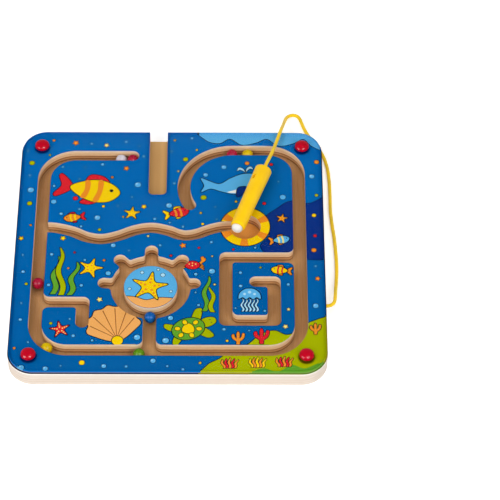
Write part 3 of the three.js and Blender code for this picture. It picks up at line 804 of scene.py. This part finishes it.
class Picture:
    """The printed motifs, from the back to the front. A `place` is what `moved` takes."""

    def __init__(self):
        self.layers = []

    def fill(self, colour, outline, line=0.0):
        """A form, with a dark line of that width round it."""
        if line:
            self.layers.append((grown(outline, 0.25 + line), "line"))
        self.layers.append((outline, colour))

    def blob(self, colour, points, line=0.0, place=(0, 0), per_span=8):
        """A smooth form through a few points."""
        self.fill(colour, moved(smooth_closed(points, per_span), *place), line)

    def dots(self, colour, places, radius):
        for x, y in places:
            self.fill(colour, circle(x, y, radius, 14))

    def bubble(self, x, y, radius):
        self.fill("aqua", circle(x, y, radius, 24), 0.4)
        if radius > 1.6:
            self.fill("pale", circle(x - radius * 0.35, y + radius * 0.35, radius * 0.28, 10))

    def fish(self, x, y, size, turn, flip=1, body="yellow", stripe="orange", fin="red"):
        place, line = (x, y, size, radians(turn), flip), 0.7
        tail = [(-17, 0), (-27, 11), (-30, 9), (-26, 0), (-30, -9), (-27, -11)]
        crest = [(-8, 8), (-6, 15), (4, 15), (10, 9), (2, 6)]
        belly = [(-4, -8), (-8, -14), (0, -14), (6, -9), (2, -6)]
        trunk = [(20, 1), (14, 8), (3, 11), (-9, 8), (-19, 0), (-9, -8), (3, -11), (14, -8)]
        for points, colour in ((tail, fin), (crest, fin), (belly, fin), (trunk, body)):
            self.blob(colour, points, line, place)
        for x, reach in ((3, 10.4), (-7, 8.4)):
            band = ((-2, -reach), (2, -reach), (3.4, 0), (2, reach), (-2, reach), (-0.6, 0))
            self.blob(stripe, [(x + u, v) for u, v in band], 0.0, place, 6)
        self.fill("line", moved(circle(13, 2.6, 1.5, 16), *place))

    def starfish(self, x, y, radius, colour, spot, turn):
        self.fill(colour, star(x, y, radius, 0.42, 5, turn), 0.7)
        for i in range(5):
            a = turn + tau * i / 5
            for share in (0.28, 0.52, 0.74):
                place = (x + radius * share * sin(a), y + radius * share * cos(a))
                self.dots(spot, [place], radius * (0.085 - 0.035 * share))

    def shell(self, x, y, radius, turn):
        place, lobes, squash = (x, y, 1, radians(turn)), 7, 0.92
        fan = [(0, -radius * 0.75)]
        for i in range(lobes * 2 + 1):
            a = radians(200 - 220 * i / (lobes * 2))
            r = radius * (1.0 if i % 2 else 0.9)
            fan.append((r * cos(a), r * sin(a) * squash))
        self.blob("sand", fan, 0.8, place, 5)
        for i in range(1, lobes):
            a = radians(200 - 220 * i / lobes)
            tip = Vector((cos(a), sin(a) * squash)) * radius * 0.84
            foot = Vector((0, -radius * 0.62))
            across = (tip - foot).normalized().orthogonal() * 0.45
            rib = (foot - across * 0.6, foot + across * 0.6, tip + across, tip - across)
            self.fill("rust", moved([tuple(p) for p in rib], *place))
        self.fill("yellow", moved(circle(0, -radius * 0.72, radius * 0.2, 20), *place), 0.5)


def whale(picture, x, y, size):
    place = (x, y, size, radians(8))
    picture.blob("aqua", [
        (26, 2), (20, 11), (6, 14), (-8, 10), (-20, 4), (-30, 9), (-38, 14), (-36, 4), (-40, -4), (-30, -1),
        (-20, -6), (-8, -11), (8, -12), (21, -8)], 0.8, place)
    belly = [(24, -2), (10, -3), (-6, -6), (-14, -8), (-6, -10.2), (8, -11.2), (20, -7.4)]
    picture.blob("white", belly, 0.0, place)
    for i in range(4):
        low, high = -9.6 + i * 0.5, -4.6
        groove = [(4 + 4 * i, low), (5 + 4 * i, low), (8 + 3.6 * i, high), (7.2 + 3.6 * i, high)]
        picture.fill("aqua", moved(groove, *place))
    picture.blob("deep", [(6, -4), (0, -13), (-5, -15), (-4, -7), (-1, -3)], 0.6, place)
    picture.fill("line", moved(circle(17, 2.4, 1.2, 14), *place))
    for side in (-1, 1):
        spout = [(0, 15), (2, 21), (6, 23), (8, 19), (5, 20), (1, 17)]
        picture.blob("pale", [(8 + u * side, v) for u, v in spout], 0.5, place)


def turtle(picture, x, y, size, turn):
    place = (x, y, size, turn)
    for points in (
        [(6, 7), (14, 17), (20, 16), (16, 8), (11, 3)],
        [(6, -7), (12, -16), (18, -16), (16, -8), (11, -3)],
        [(-9, 7), (-17, 13), (-19, 9), (-14, 3)],
        [(-9, -7), (-17, -13), (-19, -9), (-14, -3)],
        [(14, 3.6), (20, 5), (26, 2.6), (26, -2.6), (20, -5), (14, -3.6)],
    ):
        picture.blob("lime", points, 0.6, place)
    picture.fill("green", moved(circle(0, 0, 15, 48, 0.78), *place), 0.7)
    picture.fill("yellow", moved(star(0, 0, 6, 0.86, 3, 0.5), *place), 0.5)
    for i in range(6):
        a = tau * (i + 0.5) / 6
        picture.fill("yellow", moved(circle(10.2 * cos(a), 7.9 * sin(a), 2.5, 18, 0.8, a), *place), 0.4)
    picture.dots("line", moved([(22, 1.7), (22, -1.7)], *place), 0.6 * size)


def jellyfish(picture, x, y, size):
    for i in range(-2, 3):
        foot = x + size * i * 3.6
        picture.fill("pale", stalk(foot, y - size * 17, size * 16, size * 1.7, size * 1.1, 1.5), 0.4)
    picture.blob("aqua", [
        (-11, -1), (-10, 6), (-5, 11), (0, 12), (5, 11), (10, 6), (11, -1), (7, 1), (3.6, -1.4), (0, 1),
        (-3.6, -1.4), (-7, 1)], 0.7, (x, y, size))
    for dx, dy, r in ((-5, 5, 1.5), (0, 7.4, 1.8), (5, 5, 1.5)):
        picture.fill("pale", circle(x + size * dx, y + size * dy, r * size, 16))


def crab(picture, x, y, size):
    place = (x, y, size)
    claw = [(10, 4), (14, 9), (13, 15), (17, 17), (18, 13), (20, 14), (20, 9), (16, 5), (12, 1)]
    for side in (-1, 1):
        for k in range(3):
            leg = [(9, -2 - k), (15, 1 - 3 * k), (18, -4 - 3 * k), (14.4, -0.6 - 3 * k)]
            picture.blob("orange", [(u * side, v) for u, v in leg], 0.4, place, 4)
        picture.blob("orange", [(u * side, v) for u, v in claw], 0.5, place, 4)
    picture.fill("red", moved(circle(0, 0, 11.5, 40, 0.68), *place), 0.6)
    picture.dots("lemon", moved([(-5, 2), (0, 4), (5, 2), (0, -1)], *place), 1.1 * size)


def near_outline(x, y, outlines, margin):
    """True if a point lies in or within a margin of any of the outlines."""
    for points in outlines:
        within = False
        x0, y0 = points[-1]
        for x1, y1 in points:
            if (y0 > y) != (y1 > y) and x < (x1 - x0) * (y - y0) / (y1 - y0) + x0:
                within = not within
            dx, dy = x1 - x0, y1 - y0
            t = max(0, min(1, ((x - x0) * dx + (y - y0) * dy) / max(1e-9, dx * dx + dy * dy)))
            if hypot(x - x0 - t * dx, y - y0 - t * dy) < margin:
                return True
            x0, y0 = x1, y1
        if within:
            return True
    return False


def make_picture(routed):
    picture = Picture()
    # Water: a pale swell along the far right, deep water at the right, a sea bed at the near right
    for colour, line, points in (
        ("aqua", 0.6, [
            (28, 156), (34, 141), (47, 137), (58, 143), (70, 135), (84, 138), (95, 143), (107, 134),
            (121, 137), (132, 143), (141, 133), (156, 128), (158, 158), (90, 162)]),
        ("deep", 0.5, [
            (156, 66), (136, 58), (118, 61), (104, 51), (92, 38), (97, 18), (88, 4), (97, -7), (114, -3),
            (132, -12), (156, -8), (160, 30)]),
        ("lime", 0.7, [
            (30, -158), (37, -140), (50, -131), (60, -119), (74, -116), (87, -104), (100, -99), (112, -104),
            (124, -98), (136, -88), (158, -84), (160, -120), (158, -158), (90, -162)]),
        ("green", 0.0, [
            (70, -158), (78, -148), (90, -143), (103, -147), (116, -139), (128, -143), (142, -137),
            (158, -139), (158, -160), (110, -162)]),
    ):
        picture.blob(colour, points, line)
    # Left: a fish, weeds and a shell
    picture.fish(-76, 74, 1.28, -12)
    picture.fish(-96, 39, 0.42, 10, -1, "orange", "yellow", "red")
    for colour, x, y, height, lean in (
        ("green", -111, -56, 46, 4), ("lime", -103, -57, 58, -3), ("green", -95, -57, 40, 6),
    ):
        picture.fill(colour, stalk(x, y, height, 5, 2.2, 1.5, lean), 0.6)
    picture.starfish(-76, -24, 12, "yellow", "orange", 0.3)
    picture.shell(-52, -93, 26, 14)
    picture.starfish(-102, -98, 9.5, "red", "lemon", -0.2)
    # Middle: a turtle, a crab and a small fish
    turtle(picture, 19, -97, 1.05, radians(24))
    crab(picture, 22, -20, 0.62)
    picture.fish(8, 46, 0.5, 14, 1, "red", "orange", "yellow")
    picture.starfish(-38, 45, 8, "yellow", "orange", 0.1)
    picture.fill("green", stalk(34, -76, 42, 4.4, 2, 1.4, 3), 0.5)
    picture.fill("lime", stalk(42, -77, 30, 4.2, -1.8, 1.2, -2), 0.5)
    # Right: a whale inside the arc, a jellyfish and fishes, a float round the well, corals and anemones
    whale(picture, 68, 82, 0.98)
    jellyfish(picture, 77, -60, 0.95)
    picture.fish(106, -26, 0.4, -6, -1, "yellow", "red", "orange")
    picture.fish(108, 12, 0.4, 10, 1, "aqua", "lemon", "orange")
    picture.starfish(109, 39, 5.5, "orange", "yellow", 0.2)
    for x, y, r, colour in ((140.5, 43, 2.1, "yellow"), (141, 17, 1.6, "red"), (139.5, -1, 2.4, "orange")):
        picture.fill(colour, circle(x, y, r, 20), 0.35)
    float_radius, block_turn = 24, 0.36
    picture.fill("yellow", circle(*WELL, float_radius, 96), 0.8)
    for i in range(6):
        a = tau * i / 6 + 0.3
        outer = arc(*WELL, float_radius - 0.01, a, a + block_turn, 6)
        picture.fill("orange", outer + arc(*WELL, WELL_RADIUS + 0.1, a + block_turn, a, 6))
    coral = [
        (-1.8, 0), (-2, 4), (-6.4, 8), (-7.6, 13), (-5, 14.6), (-3.6, 10.4), (-1.6, 8.6), (-1.8, 15),
        (0, 18.6), (1.8, 15), (1.6, 8.6), (4, 11), (5.2, 16), (7.8, 14.6), (6.2, 8), (2.2, 4), (1.8, 0)]
    for colour, *place in (("orange", 66, -115, 0.8), ("red", 88, -114, 0.95), ("orange", 139, -103, 0.7)):
        picture.blob(colour, coral, 0.5, place, 5)
    for x, y, *pair in (
        (58, -143, "orange", "red"), (84, -142, "yellow", "orange"), (109, -141, "orange", "red"),
    ):
        for i in (-2, 2, -1, 1, 0):
            arm = stalk(x + 2.3 * i, y, 12 - abs(i), 2.3, 0.7, 1.3, 1.5 * i)
            picture.fill(pair[i % 2], arm, 0.35)
    # Loose bubbles, small starfish and grains in what is left
    taken = list(routed) + [o for o, _ in picture.layers] + [slot_outline()]
    taken += [circle(x, y, 9, 20) for x, y in PINS.values()]
    draw = random.Random(11)
    tries, reach, apart, clear = 2600, HALF - 5, 11, 1.4
    free = []
    for _ in range(tries):
        x, y = draw.uniform(-reach, reach), draw.uniform(-reach, reach)
        big = draw.random() < 0.4
        radius = draw.uniform(2.2, 3.2) if big else draw.uniform(0.9, 1.7)
        if any(hypot(x - u, y - v) < radius + r + apart for u, v, r in free):
            continue
        if near_outline(x, y, taken, radius + clear):
            continue
        free.append((x, y, radius))
        kind = draw.choice("bbbsdd")
        if kind == "s" or (big and kind == "d" and radius > 3):
            colour = draw.choice(("yellow", "lemon", "orange", "red"))
            picture.fill(colour, star(x, y, radius * 1.15, 0.5, 5, draw.uniform(0, 1)), 0.35)
        elif kind == "b":
            picture.bubble(x, y, radius)
        else:
            colour = draw.choice(("orange", "lime", "yellow", "aqua", "red"))
            picture.fill(colour, circle(x, y, radius, 20), 0.35)
    return picture.layers


def on_rim(a, b):
    """True for a wall on the board's own outline."""
    tolerance = 1.5

    def out(p):
        dx, dy = abs(p.x) - (HALF - CORNER), abs(p.y) - (HALF - CORNER)
        reach = hypot(dx, dy) if dx > 0 and dy > 0 else max(dx, dy)
        return reach > CORNER - tolerance
    return out(a) and out(b)


def make_board(paints):
    routed = routed_outlines()
    outline = rounded_square(HALF, CORNER)
    cover_outline = divided(rounded_square(HALF - COVER_INSET, CORNER - COVER_INSET), 2)
    cover_cuts = [(slot_outline(), "cut"), *((circle(x, y, PIN_HOLE, 24), "cut") for x, y in PINS.values())]
    cuts = [*((o, "cut") for o in routed), *cover_cuts]

    # Base: pale edge, floor of the tracks, underside
    base = slab(
        "base_board", [(outline, "wood")], {"wood"}, 0, BASE_TOP,
        [paints["floor"], paints["edge"], paints["under"]])
    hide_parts("base_plate")
    wood = slab(
        "track_wood", [(outline, "wood"), *cuts], {"wood"}, BASE_TOP, WOOD_TOP,
        [paints["under"], paints["edge"], paints["wall"], paints["under"]],
        lambda a, b: 1 if on_rim(a, b) else 2)
    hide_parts("track_plate")

    colours = {tag: linear(code) for tag, code in INKS.items()}
    art = make_picture(routed)
    printed = {
        "kept": set(INKS), "bottom": WOOD_TOP, "top": PRINT_TOP,
        "materials": [paints["ink"], paints["core"], paints["core"]],
        # Where no motif lies, the bevels are inked deep blue, darker than the sea: painted shade along every
        # cut edge
        "rims": ((0.25, 0), (0.07, 0.07), (0, 0.2)), "colours": colours, "brim": "deep",
    }
    top = slab("print_top", [(outline, "sea"), *art, *cuts], picture=art, **printed)
    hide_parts("print_sheet")
    cover = slab(
        "cover_clear", [(cover_outline, "clear"), *cover_cuts], {"clear"}, COVER_FOOT, COVER_TOP,
        [paints["clear"], paints["clear_edge"], paints["clear"]], rims=((0.3, 0), (0.09, 0.09), (0, 0.3)),
        colours=colours | {"clear": linear("#FFFFFF")}, picture=[(outline, "sea"), *art])
    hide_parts("cover_sheet")

    # The island in the ring, with its own print
    island = circle(*RING, ISLAND_RADIUS, 110)
    stump = slab(
        "island_wood", [(island, "wood")], {"wood"}, BASE_TOP, WOOD_TOP,
        [paints["under"], paints["wall"], paints["under"]])
    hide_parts("ring_island")
    motif = Picture()
    x, y = RING
    bank = [(-30, -14), (-16, -12), (-4, -16), (10, -13), (30, -17), (20, -34), (-20, -34)]
    motif.blob("sand", bank, 0.5, RING)
    motif.starfish(x - 1, y + 0.5, 17.5, "yellow", "orange", 0.16)
    for dx, dy, r in (
        (11.5, 14.5, 2.1), (-8.5, 17.5, 1.6), (-20, -2.5, 1.4), (19.5, -5.5, 1.3), (7, 21, 1.2),
    ):
        motif.fill("pale", circle(x + dx, y + dy, r, 24), 0.2)
    label = slab("island_art", [(island, "aqua"), *motif.layers], **printed)
    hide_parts("island_print")


def make_pins(material):
    rim, rise, edge = 1, 4, 0.35
    foot, taper = -11.5, 0.6
    profile = [
        (0, foot), (PIN_SHANK - taper, foot), (PIN_SHANK, foot + taper), (PIN_SHANK, 0), (PIN_HEAD - 0.5, 0),
        *rounding(PIN_HEAD - edge, edge, edge, -80, 0), *dome(PIN_HEAD, rim, rise, 16)]
    points, faces = lathe(profile, 64)
    made = []
    for name, (x, y) in PINS.items():
        at = [(px + x, py + y, pz + COVER_TOP) for px, py, pz in points]
        pin = piece(f"pin_{name}", at, faces, [material], sharp=50)
        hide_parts(f"cover_pin_{name}")
        made.append(pin)
    return made


def make_balls(paints):
    lower, upper = (dome(BALL_RADIUS, 0, rise, 12) for rise in (-BALL_RADIUS, BALL_RADIUS))
    points, faces = lathe(lower[::-1] + upper[1:], 48)
    made = []
    for name, colour in {
        "red_far": "red", "silver": "silver", "red_left": "red", "red_arc": "red", "yellow_arc": "yellow",
        "yellow_corner": "yellow", "green": "green", "blue": "blue",
    }.items():
        low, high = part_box(f"ball_{name}")
        middle = (low + high) / 2 / MM
        at = [Vector(p) + middle for p in points]
        ball = piece(f"steel_{name}", at, faces, [paints[f"{colour}_ball"]], f"{name}_ball", sharp=180)
        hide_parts(f"ball_{name}")
        made.append(ball)
    return made


# Pen, drawn along its own axis from the tip at 0. First places along it, then radii
PEN_LENGTH, TIP, NOSE_END, TAPER_START, STEM_END, PLUG_FACE, PLUG_SEAT = 82, 5, 5.3, 7.3, 14, 78.8, 76.8
PEN_TOP, PEN_NOSE, NOSE_HOLE, BORE, LIP, TIP_RADIUS = 8.5, 7.3, 4.3, 5.7, 7.2, 5.4
TAPER = atan((PEN_TOP - PEN_NOSE) / (PEN_LENGTH - TAPER_START))
PEN_TIP_AT, PEN_HEADING = (63.6, 13.95), radians(19.6)
WINDOW_MIDDLE, WINDOW_WIDTH, WINDOW_LENGTH = 66, 3, 5
WINDOW_TURN = Matrix.Rotation(radians(-33), 4, "Y")


def on_pen(points):
    """Points along the pen's axis, moved to where the pen lies on the cover."""
    height = COVER_TOP + 0.3 + PEN_NOSE * cos(TAPER) - TAPER_START * sin(TAPER)
    place = Matrix.Translation((*PEN_TIP_AT, height)) @ Matrix.Rotation(-PEN_HEADING, 4, "Z")
    place = place @ Matrix.Rotation(TAPER, 4, "X")
    return [place @ Vector(p) for p in points]


def at_window(half_width, half_length, z):
    """The four corners of a rectangle at the pen's window, at that distance from the axis."""
    return [
        WINDOW_TURN @ Vector((sx * half_width, WINDOW_MIDDLE + sy * half_length, z))
        for sx, sy in ((-1, -1), (1, -1), (1, 1), (-1, 1))]


def cut_window(target):
    """Cuts the box-shaped window out of the pen's barrel."""
    corners = [p for z in (0, 2 * PEN_TOP) for p in at_window(WINDOW_WIDTH / 2, WINDOW_LENGTH / 2, z)]
    cutter = mesh_object("cutter", on_pen(corners), capped(2, 4))
    modifier = target.modifiers.new("window", "BOOLEAN")
    modifier.operation, modifier.solver, modifier.object = "DIFFERENCE", "EXACT", cutter
    bpy.context.view_layer.update()
    cut = bpy.data.meshes.new_from_object(target.evaluated_get(bpy.context.evaluated_depsgraph_get()))
    target.modifiers.clear()
    target.data = cut
    cut.set_sharp_from_angle(angle=radians(35))
    bpy.data.objects.remove(cutter)


def make_pen(paints):
    profile = [
        (NOSE_HOLE, NOSE_END), *rounding(5.8, NOSE_END + 0.3, 0.3, -90, -20),
        *rounding(PEN_NOSE - 0.8, TAPER_START + 0.1, 0.8, -25, 0),
        *rounding(PEN_TOP - 0.5, PEN_LENGTH - 0.5, 0.5, 0, 90, 5),
        *rounding(LIP + 0.3, PEN_LENGTH - 0.3, 0.3, 90, 180),
        (LIP, PLUG_SEAT - 0.3), (BORE, PLUG_SEAT - 0.3), (BORE, STEM_END), (NOSE_HOLE, STEM_END)]
    points, faces = lathe(profile, 72, "Y", closed=True)
    barrel = piece("pen_barrel", on_pen(points), faces, [paints["pen"]], "pen")
    cut_window(barrel)
    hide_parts("pen_body")

    skirt, inner, flange, hole, collar = 5.4, 4.0, 6.9, 2.05, 4.05
    skirt_end, top = PLUG_SEAT - 16, PLUG_FACE + 2.4
    profile = [
        (inner, skirt_end), (skirt, skirt_end), (skirt, PLUG_SEAT), (flange, PLUG_SEAT),
        *rounding(flange - 0.3, PLUG_FACE - 0.3, 0.3, 0, 90),
        *rounding(collar + 0.3, PLUG_FACE + 0.3, 0.3, 270, 180),
        *rounding(collar - 0.4, top - 0.4, 0.4, 0, 90),
        *rounding(hole + 0.3, top - 0.3, 0.3, 90, 180),
        (hole, PLUG_SEAT), (inner, PLUG_SEAT)]
    points, faces = lathe(profile, 64, "Y", closed=True)
    plug = piece("pen_end_plug", on_pen(points), faces, [paints["pen"]], "pen")
    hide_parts("pen_plug")

    # The plug's snap lug, which stands in the window, with its outer edges taken off
    lug_top, soft = 6.5, 0.35
    rows = ((4.9, 0), (lug_top - soft, 0), (lug_top, soft))
    corners = [p for z, inset in rows for p in at_window(1.2 - inset, 2.2 - inset, z)]
    lug = piece("pen_snap_lug", on_pen(corners), capped(3, 4), [paints["pen"]], "pen")

    rise, edge, stem, chamfer = TIP - 1, 0.25, 4, 0.6
    profile = [
        *dome(TIP_RADIUS, rise, -rise, 14)[::-1], *rounding(TIP_RADIUS - edge, TIP - edge, edge, 0, 90, 3),
        (stem, TIP), (stem, STEM_END - chamfer), (stem - chamfer, STEM_END), (0, STEM_END)]
    points, faces = lathe(profile, 64, "Y")
    tip = piece("pen_nose_tip", on_pen(points), faces, [paints["tip"]], "pen")
    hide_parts("pen_tip")


# Floor, light and background
def shown_white(n, plain, white, output):
    """Shows `white` to the camera, in metal and in glass, and `plain` to all other light."""
    path = n.add("LightPath").outputs
    seen = path["Is Camera Ray"]
    for ray in ("Is Glossy Ray", "Is Transmission Ray"):
        seen = n.math("MAXIMUM", seen, path[ray])
    n.link(n.add("MixShader", {0: seen, 1: plain, 2: white}).outputs[0], output)


def make_studio(glinting):
    reach = 6000
    corners = [(-reach, -reach, 0), (reach, -reach, 0), (reach, reach, 0), (-reach, reach, 0)]
    floor = mesh_object("floor", corners, [(0, 1, 2, 3)])
    n = Surface("floor_white")
    tone = n.noise((0.004, 0.004, 0.004), 2)
    n.finish(n.ramp(tone, [(0.3, "#F8F8F8"), (0.7, "#FBFBFB")]), 0.9, Specular_IOR_Level=0.0)
    glow = n.add("Emission", {"Color": (1, 1, 1, 1), "Strength": 0.35})
    lifted = n.add("AddShader", {0: n.shader.outputs[0], 1: glow.outputs[0]})
    shown_white(n, n.shader.outputs[0], lifted.outputs[0], n.output.inputs["Surface"])
    floor.data.materials.append(n.material)

    # A world that is bright near the horizon, like a backdrop, and dimmer overhead
    world = bpy.data.worlds.new("studio")
    scene.world = world
    world.use_nodes = True
    world.node_tree.nodes.clear()
    sky = Nodes(world.node_tree)
    upward = sky.add("SeparateXYZ", {0: sky.add("TexCoord").outputs["Generated"]}).outputs[2]
    band = sky.ramp(upward, [(0.3, 1.0), (0.75, 0.42)])
    studio = sky.add("Background", {"Color": band, "Strength": 0.75})
    white = sky.add("Background", {"Color": (1, 1, 1, 1), "Strength": 1.0})
    shown_white(sky, studio.outputs[0], white.outputs[0], sky.add("OutputWorld").inputs["Surface"])

    # Two broad lamps in front and two dim ones above light the part; two others only make highlights
    for name, place, size, power in (
        ("front_left", (-1.15, -1.62, 1.62), 1.3, 25), ("front_right", (1.15, -1.62, 1.62), 1.3, 24),
        ("high_left", (-1.35, -0.05, 1.95), 0.3, 7), ("overhead", (0.3, 0, 2.4), 0.3, 4),
    ):
        lamp(name, place, size, power).visible_glossy = False
    receivers = bpy.data.collections.new("glinting")
    for made in glinting:
        receivers.objects.link(made)
    for name, place in (("glint_left", (-1.86, -1.22, 1.26)), ("glint_right", (0.8, -1.34, 1.87))):
        glint = lamp(name, place, 1.1, 280)
        glint.visible_diffuse = False
        glint.light_linking.receiver_collection = receivers
    scene.view_settings.view_transform = "Standard"


def lamp(name, place, size, power):
    light = bpy.data.lights.new(name, "AREA")
    light.shape, light.size, light.energy = "DISK", size, power
    made = linked(name, light)
    made.location = place
    made.rotation_euler = (-Vector(place)).to_track_quat("-Z", "Y").to_euler()
    return made


make_camera()
paints = make_materials()
make_cord(paints["cord"])
make_board(paints)
glinting = make_pins(paints["pin"]) + make_balls(paints)
make_pen(paints)
nodes["pen_magnet"].data.materials.clear()
nodes["pen_magnet"].data.materials.append(paints["magnet"])
make_studio(glinting)
